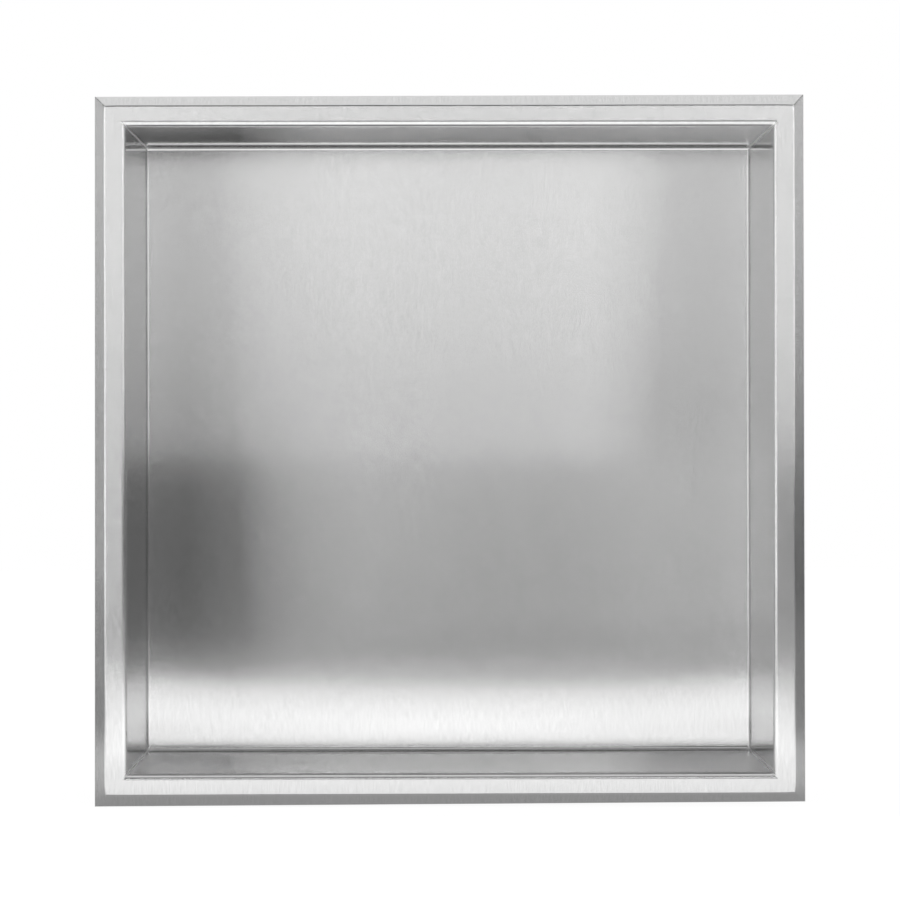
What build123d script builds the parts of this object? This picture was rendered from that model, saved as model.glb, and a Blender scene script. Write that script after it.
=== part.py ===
from build123d import *
import os
from itertools import product
from math import atan2, cos, sin, sqrt, tan

# Driving dimensions, in millimetres
opening_width = 300.0  # between the faces of the two side walls
opening_height = 300.0  # between the faces of the top and bottom walls
niche_depth = 100.0  # from the flange's face to the back panel's face
flange_width = 10.0  # from a wall's face to the crease of the rim
rim_reach = 5.0  # how far the sloped rim stands out past the crease
rim_drop = 5.0  # how far the rim falls back towards the wall
sheet = 1.2  # thickness of the steel
bend_radius = 2.2  # inside radius of every fold
edge_radius = 0.3  # deburred edge of the rim
weld_radius = 0.7  # weld run down the inner corners of the walls
corner_radius = 1.0  # ground weld down the outer corners of the walls
seam_width = 0.3  # hairline between the mitred ends of the rim
seam_depth = 0.5  # how deep that hairline goes, along Y

# Frame: +X right, +Y into the wall, +Z up
# The origin is the centre of the opening, in the plane of the flange's rear face
face_y = -sheet
half_width = opening_width / 2
half_height = opening_height / 2
half_sheet = sheet / 2
rim_slope = atan2(rim_drop, rim_reach)
border = flange_width + rim_reach
panel_strip = 3 * bend_radius  # strip of the back panel drawn with each side
diagonal = sqrt(2)


def side_section():
    # One side in section, drawn along the middle of the sheet: back panel, wall, flange, sloped rim
    # Across is out from the wall's face, up is from the flange's face into the wall
    middle = FilletPolyline(
        (-panel_strip, niche_depth + half_sheet),
        (half_sheet, niche_depth + half_sheet),
        (half_sheet, half_sheet),
        (flange_width - half_sheet * tan(rim_slope / 2), half_sheet),
        (border - half_sheet * sin(rim_slope), rim_drop + half_sheet * cos(rim_slope)),
        radius=bend_radius + half_sheet,
    )
    section = trace(middle, line_width=sheet)
    return fillet(section.vertices().sort_by(Axis.X)[-2:], edge_radius)


def mitred_side(half_along, half_across):
    # The section drawn out along X above the opening, cut at 45 degrees at both ends
    section_plane = Plane((0, face_y, half_across), x_dir=(0, 0, 1), z_dir=(-1, 0, 0))
    straight = extrude(section_plane * side_section(), half_along + border, both=True)
    between_mitres = Polyline(
        (panel_strip - half_along, half_across - panel_strip),
        (half_along - panel_strip, half_across - panel_strip),
        (half_along + border, half_across + border),
        (-half_along - border, half_across + border),
        close=True,
    )
    rear_plane = Plane((0, face_y + niche_depth + sheet, 0), x_dir=(1, 0, 0), z_dir=(0, -1, 0))
    return straight & extrude(rear_plane * make_face(between_mitres), niche_depth + sheet)


def back_panel():
    # The flat middle of the back, between the strips of the four sides
    width = opening_width - 2 * panel_strip
    height = opening_height - 2 * panel_strip
    return Pos(0, face_y + niche_depth + half_sheet, 0) * Box(width, sheet, height)


def corner_edges(pan, outward):
    # The four edges along Y where two walls meet, on their faces or on their rear faces
    def at_corner(edge):
        middle = edge.center()
        off_x = abs(middle.X) - half_width - outward
        off_z = abs(middle.Z) - half_height - outward
        return max(abs(off_x), abs(off_z)) < half_sheet / 2

    return pan.edges().filter_by(Axis.Y).filter_by(at_corner)


def rim_seam(right, up):
    # Hairline along one mitre of the rim, drawn in the diagonal plane of that corner
    start = flange_width * diagonal
    end = (border + rim_reach) * diagonal
    drop_at_end = 2 * rim_drop
    along_mitre = Polyline(
        (start, -seam_depth),
        (end, drop_at_end - seam_depth),
        (end, drop_at_end + seam_depth),
        (start, seam_depth),
        close=True,
    )
    corner = (right * half_width, face_y, up * half_height)
    mitre_plane = Plane(corner, x_dir=(right, 0, up), z_dir=(-up, 0, right))
    return extrude(mitre_plane * make_face(along_mitre), seam_width / 2, both=True)


def niche_pan():
    level_side = mitred_side(half_width, half_height)
    upright_side = mitred_side(half_height, half_width)
    pan = back_panel() + [
        level_side,
        Rot(0, 180, 0) * level_side,
        Rot(0, 90, 0) * upright_side,
        Rot(0, 270, 0) * upright_side,
    ]
    pan = fillet(corner_edges(pan, 0), weld_radius)
    pan = fillet(corner_edges(pan, sheet), corner_radius)
    return pan - [rim_seam(right, up) for right, up in product((-1, 1), repeat=2)]


os.makedirs("parts", exist_ok=True)
export_step(niche_pan(), "parts/niche_pan.step")
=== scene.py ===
from math import atan2, cos, exp, pi, radians, sin, sqrt, tan

import bmesh
import bpy
from mathutils import Matrix, Vector


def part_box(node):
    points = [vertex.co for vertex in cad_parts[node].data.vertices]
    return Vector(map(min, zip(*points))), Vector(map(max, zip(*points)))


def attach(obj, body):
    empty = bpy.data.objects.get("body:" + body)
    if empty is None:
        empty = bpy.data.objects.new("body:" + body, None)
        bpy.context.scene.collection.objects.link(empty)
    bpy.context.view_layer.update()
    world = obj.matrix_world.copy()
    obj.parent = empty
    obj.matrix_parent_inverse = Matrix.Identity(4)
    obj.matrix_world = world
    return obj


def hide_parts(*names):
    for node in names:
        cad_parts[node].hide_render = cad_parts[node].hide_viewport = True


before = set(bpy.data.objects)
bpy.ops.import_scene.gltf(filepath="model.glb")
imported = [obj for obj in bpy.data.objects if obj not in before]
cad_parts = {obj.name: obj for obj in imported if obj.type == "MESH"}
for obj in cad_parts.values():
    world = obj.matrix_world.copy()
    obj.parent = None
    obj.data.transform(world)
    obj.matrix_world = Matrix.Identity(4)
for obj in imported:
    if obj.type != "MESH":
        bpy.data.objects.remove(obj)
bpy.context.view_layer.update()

panLow, panHigh = (Vector(corner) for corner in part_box("niche_pan"))
mm = 0.001
scene = bpy.context.scene
scene.view_settings.view_transform = 'Standard'
print("frame loaded", tuple(round(v, 4) for v in panHigh - panLow))


# The pan: one sheet, folded and welded

pan = {
    "sheet": 1.2 * mm,
    "flange": 10 * mm,          # wall face to crease
    "rimReach": 5 * mm,
    "rimDrop": 5 * mm,
    "backFold": (2.25 * mm, 1.5 * mm),      # inner radius on level and on upright sides
    "openingFold": (2.9 * mm, 2.2 * mm),    # outer radius, the same way
    "creaseFold": 1.6 * mm,     # outer radius
    "edgeRadius": 0.3 * mm,     # deburred edge of the rim
    "weldRadius": 0.5 * mm,     # inner corners of the walls
    "cornerRadius": 1 * mm,     # outer corners of the walls
    "seamWidth": 0.3 * mm,      # hairline between the rim's mitred ends
    "seamDepths": (0.5 * mm, 0.1 * mm, 0.1 * mm, 0.5 * mm),     # top right and on clockwise
    "foldSteps": 10,            # facets in a right-angled fold
    "seamStarts": 3,            # facets of the crease before its seam opens
    "edgeSteps": 4,             # facets in each round of the sheet's edge
    "weldSteps": 6,
    "wallSteps": 8,             # strips across each flat
    "flangeSteps": 6,
    "rimSteps": 5,
    "rearSteps": 3,
    "support": 0.15 * mm,       # ring beside each fold that keeps the flats flat
    "cornerSteps": (0, 0.25, 0.6, 1.2, 2, 3, 4.5, 6.5, 9, 12),  # millimetres along a side from its corner
    "longestStep": 6 * mm,
    "rimWear": 0.7,             # beside the deburred edge, which has 1
    "sharpAngle": 32,           # degrees, past which an edge isn't smoothed
}

# how far the made thing departs from its drawing
handwork = {
    "hollow": 1.1 * mm,         # coil set: the back panel bows from top to bottom
    "hollowEnds": 0.3,          # share of it lost beside the side walls
    "easeWidth": 9 * mm,        # strip of the panel that a fold draws up
    "easeTilt": (0.028, 0.03),  # at the bottom and at the top
    "easeSides": 0.3,           # share of it beside the side walls
    "flangeEase": 3 * mm,       # strip of the flange that the opening fold draws down
    "flangeTilt": 0.004,
    "backLift": 0.45 * mm,      # the box sits this much higher at its back
    "creaseBow": 0.7 * mm,      # the crease runs inwards at the mitres
    "creaseBowLength": 8 * mm,
    "creaseBowWidth": 1.6 * mm,
    "creaseWobble": 0.06 * mm,
    "wobbleWaves": (41, 97),    # a long and a short wave along the crease, in radians a metre
    "wobbleDrifts": (7, 13),    # so that no two sides are alike
    "shortWaveShare": 0.6,
    "mitreBlend": 2 * mm,       # from one side's shift to the next one's
    "rimCorners": {             # outer corners of the rim, across and up
        (-1, 1): (0.18 * mm, -0.56 * mm), (1, 1): (-0.12 * mm, 0.27 * mm),
        (-1, -1): (-0.48 * mm, -0.65 * mm), (1, -1): (0.35 * mm, 0.9 * mm),
    },
}
halfOuter = panHigh.x + pan["edgeRadius"] * (sqrt(2) - 1)
halfOpening = halfOuter - pan["flange"] - pan["rimReach"]
halfPanel = halfOpening - pan["backFold"][0]
faceY = panLow.y
nicheDepth = panHigh.y - panLow.y - pan["sheet"]

# the rim's section, as across and depth from the wall's face at the opening
rimSlope = atan2(pan["rimDrop"], pan["rimReach"])
rimDegrees = rimSlope * 180 / pi
alongRim = Vector((cos(rimSlope), sin(rimSlope)))
throughRim = Vector((-sin(rimSlope), cos(rimSlope)))
rimTip = Vector((pan["flange"] + pan["rimReach"], pan["rimDrop"]))
creaseStart = pan["flange"] - pan["creaseFold"] * tan(rimSlope / 2)


def clamp(value, low=0.0, high=1.0):
    return max(low, min(high, value))


def panelRise(x, z):
    # how far the panel's place (x, z) stands forward of its deepest line
    u, v = clamp(x / halfPanel, -1, 1), clamp(z / halfPanel, -1, 1)
    hollow = handwork["hollow"] * (1 - handwork["hollowEnds"] * abs(u) ** 3) * v * v
    width = handwork["easeWidth"]
    fromTop = clamp(1 - (1 - abs(v)) * halfPanel / width)
    fromSide = clamp(1 - (1 - abs(u)) * halfPanel / width)
    ease = fromTop ** 2 + handwork["easeSides"] * fromSide ** 2
    return hollow + handwork["easeTilt"][z > 0] * width / 2 * ease


def creaseShift(x, z, out):
    # how far the crease strays inwards at a place of the flange or rim
    onCrease = exp(-((out - pan["flange"]) / handwork["creaseBowWidth"]) ** 2)
    fromCorner = abs(abs(x) - abs(z))
    bow = handwork["creaseBow"] * clamp(1 - fromCorner / handwork["creaseBowLength"]) ** 2
    along = z if abs(x) > abs(z) else x
    longWave, shortWave = handwork["wobbleWaves"]
    longDrift, shortDrift = handwork["wobbleDrifts"]
    wobble = sin(along * longWave + x * longDrift)
    wobble += handwork["shortWaveShare"] * sin(along * shortWave + z * shortDrift)
    return onCrease * (bow + handwork["creaseWobble"] * wobble)


def settle(x, depth, z):
    # moves a point of the drawn pan to where the folded sheet really lies
    out = max(abs(x), abs(z)) - halfOpening
    fold = pan["openingFold"][0]
    depth -= panelRise(x, z) * clamp(depth / nicheDepth)
    if depth < fold + pan["sheet"] and out > 0:
        near = clamp(1 - (out - fold) / handwork["flangeEase"])
        depth += handwork["flangeTilt"] * handwork["flangeEase"] / 2 * near ** 2 * clamp(out / fold)
    z += handwork["backLift"] * clamp(depth / nicheDepth)
    if out > 0:
        share = clamp(out / (pan["flange"] + pan["rimReach"])) ** 3
        right, up = (x / halfOuter + 1) / 2, (z / halfOuter + 1) / 2
        moveX = moveZ = 0.0
        for (sideX, sideZ), (dx, dz) in handwork["rimCorners"].items():
            weight = (right if sideX > 0 else 1 - right) * (up if sideZ > 0 else 1 - up)
            moveX += weight * dx
            moveZ += weight * dz
        inward = creaseShift(x, z, out)
        blend = handwork["mitreBlend"]
        moveX -= inward * clamp((abs(x) - abs(z) + blend) / blend) * (1 if x > 0 else -1)
        moveZ -= inward * clamp((abs(z) - abs(x) + blend) / blend) * (1 if z > 0 else -1)
        x += moveX * share
        z += moveZ * share
    return Vector((x, faceY + depth, z))


def arc(centre, radius, start, end, steps):
    # points on an arc, angles in degrees from +across towards +depth
    angles = [radians(start + (end - start) * i / steps) for i in range(steps + 1)]
    return [(centre[0] + radius * cos(a), centre[1] + radius * sin(a)) for a in angles]


def straight(start, end, count):
    # points between two folds, with a support ring beside each
    a, b = Vector(start), Vector(end)
    span = (b - a).length
    near = min(pan["support"], span / 4)
    inner = [near + (span - 2 * near) * i / count for i in range(count + 1)]
    return [tuple(a + (b - a) * d / span) for d in inner]


def station(point, corner, skin, radius=0.0, wear=0.0):
    return {"across": point[0], "depth": point[1], "corner": corner, "skin": skin, "radius": radius,
            "wear": wear}


def visibleSkin(upright):
    # from the back panel's edge out to the rim's edge, on a level or an upright side
    bend, outer = pan["backFold"][upright], pan["openingFold"][upright]
    steps, weld, crease = pan["foldSteps"], pan["weldRadius"], pan["creaseFold"]
    out = []
    for i, p in enumerate(arc((-bend, nicheDepth - bend), bend, 90, 0, steps)):
        rise = sin(pi / 2 * i / steps)
        out.append(station(p, "weld" if i else "sharp", "face", weld * rise))
    for p in straight((0, nicheDepth - bend), (0, outer), pan["wallSteps"]):
        out.append(station(p, "weld", "face", weld))
    for i, p in enumerate(arc((outer, outer), outer, 180, 270, steps)):
        rise = cos(pi / 2 * i / steps)
        corner = "weld" if i < steps else "sharp"
        out.append(station(p, corner, "face", weld * rise, wear=sin(pi * i / steps)))
    for p in straight((outer, 0), (creaseStart, 0), pan["flangeSteps"]):
        out.append(station(p, "sharp", "face"))
    creaseSteps = steps // 2 + 1
    creaseArc = arc((creaseStart, crease), crease, 270, 270 + rimDegrees, creaseSteps)
    for i, p in enumerate(creaseArc):
        corner = "seam" if i >= pan["seamStarts"] else "sharp"
        out.append(station(p, corner, "face", wear=sin(pi * i / creaseSteps)))
    rimEnd = rimTip - alongRim * pan["edgeRadius"]
    for p in straight(creaseArc[-1], tuple(rimEnd), pan["rimSteps"]):
        out.append(station(p, "seam", "face"))
    out[-1]["wear"] = pan["rimWear"]
    return out


def sheetEdge():
    # the sheet's own edge at the end of the rim, square to the slope and deburred
    small, steps = pan["edgeRadius"], pan["edgeSteps"]
    first = rimTip - alongRim * small + throughRim * small
    last = rimTip - alongRim * small + throughRim * (pan["sheet"] - small)
    points = arc(first, small, rimDegrees - 90, rimDegrees, steps)
    points += arc(last, small, rimDegrees, rimDegrees + 90, steps)
    return [station(p, "sharp", "edge", wear=1.0) for p in points]


def hiddenSkin(upright):
    # back along the other side of the sheet, from the rim to the back panel
    sheet, corner = pan["sheet"], pan["cornerRadius"]
    bend, outer = pan["backFold"][upright], pan["openingFold"][upright]
    steps, crease = pan["foldSteps"], pan["creaseFold"]
    rimStart = rimTip + throughRim * sheet - alongRim * pan["edgeRadius"]
    rimFold = arc((creaseStart, crease), crease - sheet, 270 + rimDegrees, 270, steps // 2)
    flats = straight(tuple(rimStart), rimFold[0], pan["rearSteps"]) + rimFold
    flats += straight((creaseStart, sheet), (outer, sheet), pan["rearSteps"])
    out = [station(p, "sharp", "rear") for p in flats]
    for i, p in enumerate(arc((outer, outer), outer - sheet, 270, 180, steps)):
        rise = sin(pi / 2 * i / steps)
        out.append(station(p, "weld" if i else "sharp", "rear", corner * rise))
    for p in straight((sheet, outer), (sheet, nicheDepth - bend), pan["wallSteps"]):
        out.append(station(p, "weld", "rear", corner))
    for i, p in enumerate(arc((-bend, nicheDepth - bend), bend + sheet, 0, 90, steps)):
        rise = cos(pi / 2 * i / steps)
        out.append(station(p, "weld" if i < steps else "sharp", "rear", corner * rise))
    return out


def alongSide():
    # places along one side from -1 to 1, close together at the corners
    fromCorner = list(pan["cornerSteps"])
    longest = pan["longestStep"] / mm
    half = halfOpening / mm
    while fromCorner[-1] + longest < half:
        fromCorner.append(fromCorner[-1] + longest)
    left = [d / half - 1 for d in fromCorner]
    return left + [0.0] + [-v for v in reversed(left)]


def ringOutline(level, upright):
    # four sides and four corners of one ring, clockwise from the top left as the niche is faced;
    # each point is across, up and depth
    places = alongSide()
    kind = level["corner"]
    short = {"weld": level["radius"], "seam": pan["seamWidth"] / 2}.get(kind, 0.0)
    sides, corners = [], []
    for k in range(4):
        own, other = (level, upright) if k % 2 == 0 else (upright, level)
        turn = Matrix.Rotation(-k * pi / 2, 2)
        half, beside = halfOpening + own["across"], halfOpening + other["across"]
        depth, depthBeside = own["depth"], other["depth"]
        drop = depthBeside - depth
        middle = (depth + depthBeside) / 2

        def spot(across, up, deep):
            flat = turn @ Vector((across, up))
            return (flat.x, flat.y, deep)

        sides.append([spot(p * (beside - short), half, depth) for p in places])
        if kind == "weld":
            n = pan["weldSteps"]
            bow = [(sin(pi / 2 * i / n), cos(pi / 2 * i / n), i / n) for i in range(n + 1)]
            corners.append([spot(beside - short + short * a, half - short + short * u, depth + drop * t)
                            for a, u, t in bow])
        elif kind == "seam":
            sunk = middle + pan["seamDepths"][k]
            corners.append([spot(beside - short, half, depth), spot(beside, half, sunk),
                            spot(beside, half - short, depthBeside)])
        else:
            corners.append([spot(beside, half, middle)])
    return sides, corners


def buildPan():
    level, upright = (visibleSkin(side) + sheetEdge() + hiddenSkin(side) for side in (0, 1))
    lastFace = len(visibleSkin(0)) - 1
    sheetMesh = bpy.data.meshes.new("foldedPan")
    bm = bmesh.new()
    uv = bm.loops.layers.uv.new("sheetBlank")
    wearLayer = bm.verts.layers.float.new("wear")
    places = alongSide()
    n = len(places) - 1
    slots = {"face": 0, "weld": 1, "edge": 2, "rear": 3, "rearWeld": 4, "gap": 5}   # order of the finishes

    def vertex(p, wear=0.0):
        vert = bm.verts.new(settle(p[0], p[2], p[1]))
        vert[wearLayer] = wear
        return vert

    rings = []
    for own, other in zip(level, upright):
        sides, corners = ringOutline(own, other)
        ring = {"sides": [], "corners": [[vertex(p, own["wear"]) for p in corner] for corner in corners]}
        for k in range(4):
            middle = [vertex(p, own["wear"]) for p in sides[k][1:-1]]
            ring["sides"].append([ring["corners"][k - 1][-1]] + middle + [ring["corners"][k][0]])
        rings.append(ring)

    def unrolled(stations):
        # distance from the centre on the flat blank; the hidden side lies under the visible one
        out = [halfOpening + stations[0]["across"]]
        for a, b in zip(stations, stations[1:]):
            step = sqrt((a["across"] - b["across"]) ** 2 + (a["depth"] - b["depth"]) ** 2)
            out.append(out[-1] + step)
        return [d if i <= lastFace else 2 * out[lastFace] - d for i, d in enumerate(out)]

    blanks = [unrolled(level), unrolled(upright)]

    def setFace(verts, skin, side, blank):
        f = bm.faces.new(verts)
        f.smooth = True
        f.material_index = slots[skin]
        for loop, reach in zip(f.loops, blank):
            x, z = loop.vert.co.x, loop.vert.co.z
            loop[uv].uv = {0: (x, reach), 1: (reach, z), 2: (x, -reach), 3: (-reach, z)}[side]

    for i in range(len(rings) - 1):
        a, b = rings[i], rings[i + 1]
        skin = level[i + 1]["skin"]
        seamed = "seam" in (level[i]["corner"], level[i + 1]["corner"])
        for k in range(4):
            da, db = blanks[k % 2][i], blanks[k % 2][i + 1]
            sa, sb = a["sides"][k], b["sides"][k]
            for j in range(n):
                setFace([sa[j], sa[j + 1], sb[j + 1], sb[j]], skin, k, [da, da, db, db])
            ca, cb = a["corners"][k], b["corners"][k]
            corner = {"face": "weld", "rear": "rearWeld"}.get(skin, skin)
            if seamed:
                # the deeper seams take the gap finish, whose dark colour is painted shadow
                corner = "gap" if pan["seamDepths"][k] > pan["seamWidth"] else skin
            count = max(len(ca), len(cb)) - 1
            for j in range(count):
                side = k if j < count / 2 else (k + 1) % 4
                if len(ca) == 1:
                    setFace([ca[0], cb[j + 1], cb[j]], corner, side, [da, db, db])
                elif len(cb) == 1:
                    setFace([ca[j], ca[j + 1], cb[0]], corner, side, [da, da, db])
                else:
                    setFace([ca[j], ca[j + 1], cb[j + 1], cb[j]], corner, side, [da, da, db, db])

    def panel(ring, ends, depth, skin):
        top, right, bottom, left = ring["sides"]
        tall, wide = (halfOpening + end["across"] for end in ends)
        grid = [[None] * (n + 1) for _ in range(n + 1)]
        for j in range(n + 1):
            grid[0][j] = top[j]
            grid[n][j] = bottom[n - j]
            grid[j][n] = right[j]
            grid[j][0] = left[n - j]
        for row in range(1, n):
            for col in range(1, n):
                grid[row][col] = vertex((places[col] * wide, -places[row] * tall, depth))
        for row in range(n):
            for col in range(n):
                upper, lower = grid[row], grid[row + 1]
                f = bm.faces.new([upper[col], lower[col], lower[col + 1], upper[col + 1]])
                f.smooth = True
                f.material_index = slots[skin]
                for loop in f.loops:
                    loop[uv].uv = (loop.vert.co.x, loop.vert.co.z)

    panel(rings[0], (level[0], upright[0]), nicheDepth, "face")
    panel(rings[-1], (level[-1], upright[-1]), nicheDepth + pan["sheet"], "rear")
    bmesh.ops.recalc_face_normals(bm, faces=bm.faces)
    bm.to_mesh(sheetMesh)
    bm.free()
    sheetMesh.set_sharp_from_angle(angle=radians(pan["sharpAngle"]))
    piece = bpy.data.objects.new("foldedPan", sheetMesh)
    scene.collection.objects.link(piece)
    return piece


foldedPan = buildPan()
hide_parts("niche_pan")
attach(foldedPan, "root")
print("pan folded", len(foldedPan.data.vertices), "points", len(foldedPan.data.polygons), "faces")


# Tools for the finishes

def feed(tree, socket, value):
    # links a socket to another one, or sets its value
    if isinstance(value, bpy.types.NodeSocket):
        tree.links.new(value, socket)
    else:
        socket.default_value = value


def place(tree, kind, **sockets):
    # one node, with its sockets fed by name
    node = tree.nodes.new(kind)
    for label, value in sockets.items():
        feed(tree, node.inputs[label], value)
    return node


def sums(tree, operation, first, second=0.0, third=0.0):
    node = tree.nodes.new("ShaderNodeMath")
    node.operation = operation
    for socket, value in zip(node.inputs, (first, second, third)):
        feed(tree, socket, value)
    return node.outputs[0]


def spread(tree, value, low, high, toLow, toHigh, smooth=False):
    node = tree.nodes.new("ShaderNodeMapRange")
    node.interpolation_type = 'SMOOTHSTEP' if smooth else 'LINEAR'
    tree.links.new(value, node.inputs["Value"])
    limits = {"From Min": low, "From Max": high, "To Min": toLow, "To Max": toHigh}
    for label, number in limits.items():
        node.inputs[label].default_value = number
    return node.outputs["Result"]


def blankPlace(tree, scaleAcross, scaleAlong):
    # place on the flat blank, across and along the grain
    uvMap = tree.nodes.new("ShaderNodeUVMap")
    uvMap.uv_map = "sheetBlank"
    scale = (scaleAcross, scaleAlong, 1)
    return place(tree, "ShaderNodeMapping", Vector=uvMap.outputs["UV"], Scale=scale).outputs["Vector"]


def noise(tree, density, detail=2.0, roughness=0.5):
    # noise on the flat blank, its density to the metre across and along the grain
    node = place(tree, "ShaderNodeTexNoise", Vector=blankPlace(tree, *density), Scale=1.0, Detail=detail,
                 Roughness=roughness)
    return node.outputs["Fac"]


def byNoise(tree, value, low, high):
    # from low to high over the middle of a noise, where most of its values lie
    return spread(tree, value, 0.3, 0.7, low, high)


def sheetTangent(tree):
    node = tree.nodes.new("ShaderNodeTangent")
    node.direction_type = 'UV_MAP'
    node.uv_map = "sheetBlank"
    return node.outputs["Tangent"]


def grey(tree, value):
    return place(tree, "ShaderNodeCombineColor", Red=value, Green=value, Blue=value).outputs[0]


def newGroup(name, inputs, outputs):
    tree = bpy.data.node_groups.new(name, 'ShaderNodeTree')
    for label, value in inputs:
        socket = tree.interface.new_socket(label, in_out='INPUT', socket_type='NodeSocketFloat')
        socket.default_value = value
    for label, kind in outputs:
        tree.interface.new_socket(label, in_out='OUTPUT', socket_type=kind)
    return tree, tree.nodes.new("NodeGroupInput").outputs, tree.nodes.new("NodeGroupOutput").inputs


# Finishes

brushed = {
    "steel": 0.74,              # straight-on reflectance of the brushed sheet
    "steelLift": 0.038,         # grain lines lighter and darker by this much
    "sideWallPaintedShade": 0.09,       # side walls' colour made darker by this much: painted shade for the light their grooves keep back at a glance along them
    "insideRoughness": 0.135,
    "flangeRoughness": 0.21,
    "roughnessLift": 0.012,     # grain lines duller and shinier by this much
    "anisotropy": 1.0,
    "insideSpread": 0.3,        # slope of the grain's grooves
    "wallSpread": 0.07,         # of those that show at a glance along the walls
    "flangeSpread": 0.2,
    "groovePitch": 0.16 * mm,
    "grooveWander": 2.0,        # pitches that a groove strays along its length
    "grooveEdge": 0.04,         # keeps the slope at a groove's edge finite
    "wanderNoise": (500, 24),   # to the metre, across and along the grain
    "fineNoise": (1500, 170),
    "broadNoise": (240, 10),
    "broadShare": 0.1,          # of a streak, the rest being fine
    "streakRange": (0.25, 0.75),
    "wallStarts": 151 * mm,     # on the flat blank, from its centre
    "wallBlend": 1.5 * mm,
    "flangeStarts": 245 * mm,
    "flangeBlend": 2 * mm,
    "foldWear": 0.06,
    "markDarkens": 0.012,
    "markDulls": 0.012,
}
wearing = {"patches": (90, 90), "detail": 3.0, "least": 0.35}   # least is left between the patches
wiping = {"marks": (14, 9), "detail": 4.0, "roughness": 0.6, "range": (0.5, 0.78)}


def brushedGrainGroup():
    inputs = [("Inside Spread", brushed["insideSpread"]), ("Wall Spread", brushed["wallSpread"]),
              ("Flange Spread", brushed["flangeSpread"])]
    outputs = [("Normal", 'NodeSocketVector'), ("Streak", 'NodeSocketFloat'), ("Flange", 'NodeSocketFloat'),
               ("Side Wall", 'NodeSocketFloat')]
    tree, given, result = newGroup("brushedGrain", inputs, outputs)
    parts = place(tree, "ShaderNodeSeparateXYZ", Vector=blankPlace(tree, 1, 1)).outputs
    sideways = sums(tree, 'ABSOLUTE', parts["X"])
    far = sums(tree, 'MAXIMUM', sideways, sums(tree, 'ABSOLUTE', parts["Y"]))

    def past(distance, area):
        start = brushed[area + "Starts"]
        return spread(tree, distance, start, start + brushed[area + "Blend"], 0, 1, smooth=True)

    wall, sideWall, flange = past(far, "wall"), past(sideways, "wall"), past(far, "flange")

    # each groove is round in section, and the normal leans with its slope
    wander = sums(tree, 'MULTIPLY', noise(tree, brushed["wanderNoise"]), brushed["grooveWander"])
    groove = sums(tree, 'FRACT', sums(tree, 'MULTIPLY_ADD', parts["X"], 1 / brushed["groovePitch"], wander))
    side = sums(tree, 'MULTIPLY_ADD', groove, 2.0, -1.0)
    rest = sums(tree, 'MULTIPLY_ADD', sums(tree, 'MULTIPLY', side, side), -1.0, 1.0)
    slope = sums(tree, 'DIVIDE', side, sums(tree, 'SQRT', sums(tree, 'MAXIMUM', rest, brushed["grooveEdge"])))
    inside, onWall, onFlange = (given[label] for label, _ in inputs)
    width = sums(tree, 'MULTIPLY_ADD', wall, sums(tree, 'SUBTRACT', onWall, inside), inside)
    width = sums(tree, 'MULTIPLY_ADD', flange, sums(tree, 'SUBTRACT', onFlange, onWall), width)
    lean = tree.nodes.new("ShaderNodeVectorMath")
    lean.operation = 'SCALE'
    tree.links.new(sheetTangent(tree), lean.inputs[0])
    tree.links.new(sums(tree, 'MULTIPLY', slope, width), lean.inputs["Scale"])
    leant = tree.nodes.new("ShaderNodeVectorMath")
    tree.links.new(tree.nodes.new("ShaderNodeNewGeometry").outputs["Normal"], leant.inputs[0])
    tree.links.new(lean.outputs[0], leant.inputs[1])
    unit = tree.nodes.new("ShaderNodeVectorMath")
    unit.operation = 'NORMALIZE'
    tree.links.new(leant.outputs[0], unit.inputs[0])

    share = brushed["broadShare"]
    fine = sums(tree, 'MULTIPLY', noise(tree, brushed["fineNoise"], 1.0), 1 - share)
    streak = sums(tree, 'MULTIPLY_ADD', noise(tree, brushed["broadNoise"]), share, fine)
    inNiche = sums(tree, 'SUBTRACT', 1.0, flange)
    made = {"Normal": unit.outputs[0], "Streak": streak, "Flange": flange,
            "Side Wall": sums(tree, 'MULTIPLY', sideWall, inNiche)}
    for label, socket in made.items():
        tree.links.new(socket, result[label])
    return tree


def edgeWearGroup():
    # worn brighter on folds and cut edges, broken up along them
    tree, given, result = newGroup("edgeWear", [("Amount", 0.6)], [("Wear", 'NodeSocketFloat')])
    mask = tree.nodes.new("ShaderNodeAttribute")
    mask.attribute_name = "wear"
    patchy = byNoise(tree, noise(tree, wearing["patches"], wearing["detail"]), wearing["least"], 1)
    wear = sums(tree, 'MULTIPLY', sums(tree, 'MULTIPLY', mask.outputs["Fac"], patchy), given["Amount"])
    tree.links.new(wear, result["Wear"])
    return tree


def handledGroup():
    # faint wiping marks and hand marks, seen as a change of gloss
    tree, given, result = newGroup("handled", [("Amount", 1.0)], [("Mark", 'NodeSocketFloat')])
    marks = noise(tree, wiping["marks"], wiping["detail"], wiping["roughness"])
    wiped = spread(tree, marks, *wiping["range"], 0, 1, smooth=True)
    tree.links.new(sums(tree, 'MULTIPLY', wiped, given["Amount"]), result["Mark"])
    return tree


groups = {"brushedGrain": brushedGrainGroup(), "edgeWear": edgeWearGroup(), "handled": handledGroup()}


def addGroup(tree, name, **values):
    node = tree.nodes.new("ShaderNodeGroup")
    node.node_tree = groups[name]
    for label, value in values.items():
        node.inputs[label.replace("_", " ")].default_value = value
    return node.outputs


def metal(name):
    material = bpy.data.materials.new(name)
    material.use_nodes = True
    shader = material.node_tree.nodes["Principled BSDF"]
    shader.inputs["Metallic"].default_value = 1.0
    return material, material.node_tree, shader


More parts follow.
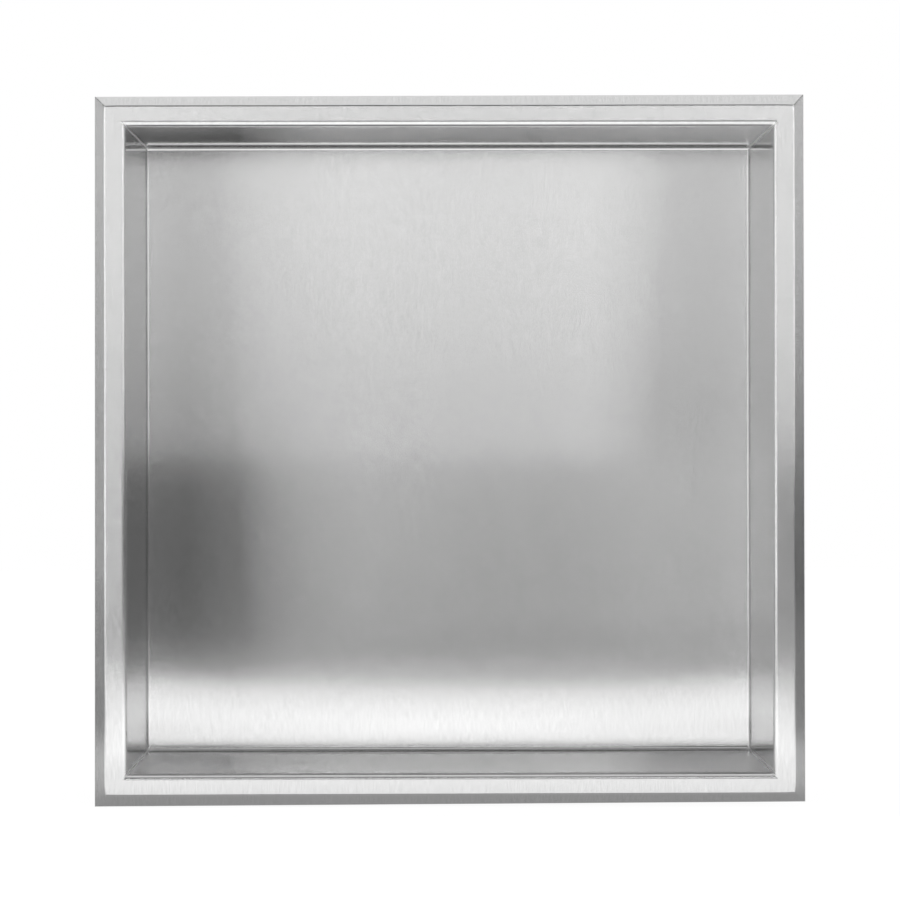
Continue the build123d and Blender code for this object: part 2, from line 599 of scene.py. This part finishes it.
def brushedSteel():
    material, tree, shader = metal("brushedSteel")
    grain = addGroup(tree, "brushedGrain", Inside_Spread=brushed["insideSpread"],
                     Wall_Spread=brushed["wallSpread"], Flange_Spread=brushed["flangeSpread"])
    wear = addGroup(tree, "edgeWear", Amount=brushed["foldWear"])["Wear"]
    mark = addGroup(tree, "handled", Amount=1.0)["Mark"]
    low, high = brushed["streakRange"]
    steel, lift, dull = brushed["steel"], brushed["steelLift"], brushed["roughnessLift"]
    tone = spread(tree, grain["Streak"], low, high, steel - lift, steel + lift)
    # painted shade: the side walls' colour is darkened
    tone = sums(tree, 'MULTIPLY_ADD', grain["Side Wall"], -brushed["sideWallPaintedShade"], tone)
    tone = sums(tree, 'MULTIPLY_ADD', mark, -brushed["markDarkens"], tone)
    tree.links.new(grey(tree, sums(tree, 'ADD', tone, wear)), shader.inputs["Base Color"])
    rough = spread(tree, grain["Flange"], 0, 1, brushed["insideRoughness"], brushed["flangeRoughness"])
    rough = sums(tree, 'ADD', rough, spread(tree, grain["Streak"], low, high, -dull, dull))
    rough = sums(tree, 'MULTIPLY_ADD', mark, brushed["markDulls"], rough)
    tree.links.new(rough, shader.inputs["Roughness"])
    shader.inputs["Anisotropic"].default_value = brushed["anisotropy"]
    tree.links.new(sheetTangent(tree), shader.inputs["Tangent"])
    tree.links.new(grain["Normal"], shader.inputs["Normal"])
    return material


ground = {
    "scratches": (900, 900), "detail": 3.0, "break": 0.65,
    "tone": (0.8, 0.9), "roughness": (0.26, 0.36), "wear": 0.08,
    "scratchDepth": 0.02 * mm, "bump": 0.4,
}


def groundWeld():
    # ground flush by hand, so its scratches run in no one direction
    material, tree, shader = metal("groundWeld")
    scratches = noise(tree, ground["scratches"], ground["detail"], ground["break"])
    wear = addGroup(tree, "edgeWear", Amount=ground["wear"])["Wear"]
    tone = sums(tree, 'ADD', byNoise(tree, scratches, *ground["tone"]), wear)
    tree.links.new(grey(tree, tone), shader.inputs["Base Color"])
    tree.links.new(byNoise(tree, scratches, *ground["roughness"]), shader.inputs["Roughness"])
    bump = place(tree, "ShaderNodeBump", Height=scratches, Distance=ground["scratchDepth"],
                 Strength=ground["bump"])
    tree.links.new(bump.outputs["Normal"], shader.inputs["Normal"])
    return material


sheared = {"lines": (700, 700), "break": 0.6, "tone": (0.58, 0.68), "roughness": (0.3, 0.42), "wear": 0.1}


def cutEdge():
    material, tree, shader = metal("cutEdgeFinish")
    lines = noise(tree, sheared["lines"], roughness=sheared["break"])
    wear = addGroup(tree, "edgeWear", Amount=sheared["wear"])["Wear"]
    tone = sums(tree, 'ADD', byNoise(tree, lines, *sheared["tone"]), wear)
    tree.links.new(grey(tree, tone), shader.inputs["Base Color"])
    tree.links.new(byNoise(tree, lines, *sheared["roughness"]), shader.inputs["Roughness"])
    return material


mill = {
    "clouds": (30, 22), "detail": 4.0, "break": 0.6,
    "tone": (0.55, 0.61), "roughness": (0.27, 0.36),
    "spread": 0.03, "streak": 0.05, "markDarkens": 0.05, "markDulls": 0.08,
}


def millFace():
    # the side of the sheet that was never brushed
    material, tree, shader = metal("millFace")
    grain = addGroup(tree, "brushedGrain", Inside_Spread=mill["spread"], Wall_Spread=mill["spread"],
                     Flange_Spread=mill["spread"])
    mark = addGroup(tree, "handled", Amount=1.0)["Mark"]
    clouds = noise(tree, mill["clouds"], mill["detail"], mill["break"])
    tone = sums(tree, 'MULTIPLY_ADD', grain["Streak"], mill["streak"], byNoise(tree, clouds, *mill["tone"]))
    tone = sums(tree, 'MULTIPLY_ADD', mark, -mill["markDarkens"], tone)
    tree.links.new(grey(tree, tone), shader.inputs["Base Color"])
    rough = sums(tree, 'MULTIPLY_ADD', mark, mill["markDulls"], byNoise(tree, clouds, *mill["roughness"]))
    tree.links.new(rough, shader.inputs["Roughness"])
    return material


bead = {
    "ripples": (420, 420), "rippleScale": 0.6, "distortion": 3.0, "roughness": (0.3, 0.42),
    "rippleHeight": 0.1 * mm, "bump": 0.6,
    "heat": (60, 60), "straw": (0.5, 0.47, 0.42, 1), "blue": (0.42, 0.43, 0.47, 1),
}


def weldBead():
    # left as welded behind the wall: ripples and a little heat colour
    material, tree, shader = metal("weldBead")
    wave = place(tree, "ShaderNodeTexWave", Vector=blankPlace(tree, *bead["ripples"]),
                 Scale=bead["rippleScale"], Distortion=bead["distortion"])
    wave.bands_direction = 'DIAGONAL'
    ripple = wave.outputs["Fac"]
    heat = place(tree, "ShaderNodeValToRGB", Fac=noise(tree, bead["heat"]))
    first, last = heat.color_ramp.elements
    first.position, first.color = 0.3, bead["straw"]
    last.position, last.color = 0.7, bead["blue"]
    tree.links.new(heat.outputs["Color"], shader.inputs["Base Color"])
    tree.links.new(spread(tree, ripple, 0, 1, *bead["roughness"]), shader.inputs["Roughness"])
    bump = place(tree, "ShaderNodeBump", Height=ripple, Distance=bead["rippleHeight"], Strength=bead["bump"])
    tree.links.new(bump.outputs["Normal"], shader.inputs["Normal"])
    return material


# the gap's dark grey is painted shadow, broken up by polishing dirt
gap = {"shadeAndDust": (500, 500), "tone": (0.06, 0.14), "roughness": (0.5, 0.7)}


def openGap():
    # painted shadow between two mitred ends, with the dirt of polishing left in it
    material, tree, shader = metal("openGap")
    shadeAndDust = noise(tree, gap["shadeAndDust"])
    # dark grey: painted shadow in the gap, varied by the dirt noise
    tree.links.new(grey(tree, byNoise(tree, shadeAndDust, *gap["tone"])), shader.inputs["Base Color"])
    tree.links.new(byNoise(tree, shadeAndDust, *gap["roughness"]), shader.inputs["Roughness"])
    return material


for made in (brushedSteel(), groundWeld(), cutEdge(), millFace(), weldBead(), openGap()):
    foldedPan.data.materials.append(made)
print("finishes set")


# Studio: two softboxes beside the camera, glowing cards on a pale table that paint its lit front and the
# softboxes' reflections in it, and a soft tent round them

studio = {
    "tableZ": -166 * mm,
    "tableFront": -0.9,
    "tableBack": 2.5,
    "tableHalf": 2.0,           # half its width
    "tableColour": 0.12,
    "tableSeen": 0.95,          # added so that the camera sees the table as white
    "tablePaintedPool": [(0, 0.33), (0.2, 0.32), (0.4, 0.17), (2, 0.15)],  # what the metal shows of it, outwards: a painted pool of light, brighter in front of the object than at the sides
    "cardLift": 0.5 * mm,       # of the cards that lie on the table
    "beside": (0.16, 0.26),     # the tent's parts, by how far a direction is turned to the side
    "gap": (0.42, 0.5),
    "side": (0.8, 0.92),
    "leftToRight": 0.1,
    "behind": (0.3, 0.6),       # white behind the object
}
# brightness of the tent by height, from straight down at -1 to overhead at 1: behind the camera,
# to its left and right, past the softboxes, and at both sides
tentLight = {
    "centre": [(-1, 0.05), (-0.15, 0.05), (-0.11, 0.3), (-0.08, 0.05), (0, 0.05), (0.12, 0.4), (0.15, 0.4),
               (0.17, 0.05)],
    "besideLeft": [(-1, 0.05), (-0.1, 0.05), (-0.06, 0.75), (-0.02, 0.6), (0.02, 1), (0.08, 1), (0.12, 0.05)],
    "besideRight": [(-1, 0.05), (-0.15, 0.15), (-0.11, 0.9), (-0.06, 0.45), (0, 0.45), (0.05, 0.95),
                    (0.13, 0.5), (0.2, 0.05)],
    "gapLeft": [(-1, 0.05), (-0.15, 0.05), (-0.065, 1.7), (-0.035, 0.1), (0.12, 0.1)],
    "gapRight": [(-1, 0.1), (-0.15, 0.1), (-0.11, 0.6), (-0.06, 0.1), (-0.02, 0.1), (0.08, 0.7),
                 (0.12, 0.05)],
    "sideLeft": [(-1, 0.1), (-0.1, 0.15), (0, 0.25), (0.13, 0.6), (0.2, 0.2)],
    "sideRight": [(-1, 0.1), (-0.1, 0.02), (-0.02, 0.02), (0.05, 0.35), (0.13, 0.65), (0.2, 0.2)],
    "overhead": [(0.5, 0.12), (0.8, 0.6), (0.9, 0.9), (1, 0.95)],   # the top of every one of them
}


def onTable(*corners):
    return [(x, y, studio["tableZ"] + studio["cardLift"]) for x, y in corners]


# each card: corners, brightness, and how it fades along one axis as (place, share) steps
cards = {
    "leftSoftbox": {
        "corners": [(-0.768, -1.2, -0.25), (-0.5, -1.2, 0.42), (-1.2, -0.94, 0.42), (-1.2, -0.94, -0.25)],
        "light": 3.0, "axis": "Z",
        "steps": [(-0.25, 0.6), (-0.1, 0.95), (-0.03, 1.0), (0.03, 0.75), (0.42, 0.8)],
    },
    "rightSoftbox": {
        "corners": [(0.72, -1.2, -0.012), (0.523, -1.2, 0.6), (1.0, -1.0, 0.6), (1.0, -1.0, -0.012)],
        "light": 3.6, "axis": "Z",
        "steps": [(-0.012, 0.75), (0.25, 0.75), (0.35, 1.0), (0.6, 1.0)],
    },
    "fillCard": {   # a glowing card on the table, painted light of the table's lit front, brightest in the middle; its front edge isn't quite straight
        "corners": onTable((-0.45, -0.7), (-0.15, -0.7), (0.0, -0.72), (0.15, -0.69), (0.3, -0.69),
                           (0.45, -0.7), (0.45, -0.2), (-0.45, -0.2)),
        "light": 1.74, "axis": "X",
        "steps": [(-0.45, 0.5), (-0.25, 0.55), (-0.12, 1.0), (0.12, 1.0), (0.25, 0.5), (0.45, 0.5)],
    },
    "nearCard": {   # painted light of the lit table from there to the foot of the rim, another glowing card
        "corners": onTable((-0.45, -0.2), (0.45, -0.2), (0.45, -0.035), (-0.45, -0.035)),
        "light": 1.14, "axis": "X",
        "steps": [(-0.45, 1.0), (0.45, 1.0)],
    },
    "leftSoftboxPaintedReflection": {   # painted reflection of the left softbox in the table, a glowing card lying on it
        "corners": onTable((-0.8, -0.82), (-0.451, -0.82), (-0.451, -0.5), (-0.8, -0.5)),
        "light": 2.5, "axis": "Y",
        "steps": [(-0.82, 1.0), (-0.5, 0.95)],
    },
    "rightSoftboxPaintedReflection": {  # painted reflection of the right softbox in the table, the same way
        "corners": onTable((0.451, -0.76), (0.8, -0.76), (0.8, -0.68), (0.451, -0.68)),
        "light": 2.4, "axis": "Y",
        "steps": [(-0.76, 1.0), (-0.68, 0.9)],
    },
}


def greyRamp(tree, where, low, high, steps):
    # grey by place between low and high, straight from step to step
    ramp = tree.nodes.new("ShaderNodeValToRGB")
    stops = ramp.color_ramp.elements
    while len(stops) < len(steps):
        stops.new(0.5)
    for stop, (level, value) in zip(stops, steps):
        stop.position = (level - low) / (high - low)
        stop.color = (value, value, value, 1)
    tree.links.new(spread(tree, where, low, high, 0, 1), ramp.inputs["Fac"])
    return ramp.outputs["Color"]


def coordinates(tree, kind):
    source = tree.nodes.new("ShaderNodeTexCoord").outputs[kind]
    return place(tree, "ShaderNodeSeparateXYZ", Vector=source).outputs


def inReflections(tree, path):
    return sums(tree, 'ADD', path["Is Glossy Ray"], path["Is Transmission Ray"])


def stagePiece(name, corners, paintName):
    # one flat face with an empty material
    mesh = bpy.data.meshes.new(name)
    mesh.from_pydata(corners, [], [range(len(corners))])
    obj = bpy.data.objects.new(name, mesh)
    scene.collection.objects.link(obj)
    material = bpy.data.materials.new(paintName)
    material.use_nodes = True
    material.node_tree.nodes.clear()
    mesh.materials.append(material)
    return obj, material.node_tree


def card(name):
    given = cards[name]
    obj, tree = stagePiece(name, given["corners"], name)
    out = tree.nodes.new("ShaderNodeOutputMaterial")
    steps = given["steps"]
    shade = greyRamp(tree, coordinates(tree, "Object")[given["axis"]], steps[0][0], steps[-1][0], steps)
    glow = place(tree, "ShaderNodeEmission", Color=shade, Strength=given["light"])
    tree.links.new(glow.outputs[0], out.inputs["Surface"])
    obj.visible_camera = False


def tableTop():
    z, front, back, half = (studio[name] for name in ("tableZ", "tableFront", "tableBack", "tableHalf"))
    corners = [(-half, front, z), (half, front, z), (half, back, z), (-half, back, z)]
    obj, tree = stagePiece("table", corners, "paleTable")
    out = tree.nodes.new("ShaderNodeOutputMaterial")
    paint = place(tree, "ShaderNodeBsdfDiffuse", Color=(studio["tableColour"],) * 3 + (1,))
    path = tree.nodes.new("ShaderNodeLightPath").outputs
    outwards = sums(tree, 'ABSOLUTE', coordinates(tree, "Object")["X"])
    # painted pool of light on the table, seen only in reflections: brightest in the middle, dimmer outwards
    lit = greyRamp(tree, outwards, 0, half, studio["tablePaintedPool"])
    mirrored = sums(tree, 'MULTIPLY', inReflections(tree, path), lit)
    shown = sums(tree, 'MULTIPLY_ADD', path["Is Camera Ray"], studio["tableSeen"], mirrored)
    glow = place(tree, "ShaderNodeEmission", Strength=shown)
    both = tree.nodes.new("ShaderNodeAddShader")
    tree.links.new(paint.outputs[0], both.inputs[0])
    tree.links.new(glow.outputs[0], both.inputs[1])
    tree.links.new(both.outputs[0], out.inputs["Surface"])


def tent():
    world = bpy.data.worlds.new("studioTent")
    scene.world = world
    world.use_nodes = True
    tree = world.node_tree
    background = tree.nodes["Background"]
    background.inputs["Color"].default_value = (1, 1, 1, 1)
    heading = coordinates(tree, "Generated")

    def byHeight(name):
        return greyRamp(tree, heading["Z"], -1, 1, tentLight[name] + tentLight["overhead"])

    def blend(first, second, share):
        return place(tree, "ShaderNodeMix", Factor=share, A=first, B=second).outputs["Result"]

    turned = sums(tree, 'ABSOLUTE', heading["X"])
    rightwards = spread(tree, heading["X"], -studio["leftToRight"], studio["leftToRight"], 0, 1)
    light = byHeight("centre")
    for part in ("beside", "gap", "side"):
        pair = blend(byHeight(part + "Left"), byHeight(part + "Right"), rightwards)
        light = blend(light, pair, spread(tree, turned, *studio[part], 0, 1))
    path = tree.nodes.new("ShaderNodeLightPath").outputs
    behind = spread(tree, heading["Y"], *studio["behind"], 0, 1, smooth=True)
    mirrored = sums(tree, 'MULTIPLY', inReflections(tree, path), behind)
    white = sums(tree, 'MAXIMUM', path["Is Camera Ray"], mirrored)
    tree.links.new(blend(light, 1.0, white), background.inputs["Strength"])


for cardName in cards:
    card(cardName)
tableTop()
tent()
print("studio set")


# Camera at the photograph's viewpoint

view = {
    "place": (-10.5 * mm, -1.3596, 3.9 * mm),
    "target": (0.0, 0.0, 0.0),
    "rollDeg": -0.096,
    "lens": 117.23,
    "sensor": 36.0,
}
cameraData = bpy.data.cameras.new("camera")
cameraData.sensor_width = view["sensor"]
cameraData.lens = view["lens"]
camera = bpy.data.objects.new("camera", cameraData)
scene.collection.objects.link(camera)
look = Vector(view["target"]) - Vector(view["place"])
aim = look.to_track_quat('-Z', 'Y').to_matrix() @ Matrix.Rotation(radians(view["rollDeg"]), 3, 'Z')
camera.matrix_world = Matrix.Translation(view["place"]) @ aim.to_4x4()
scene.camera = camera
print("camera set")
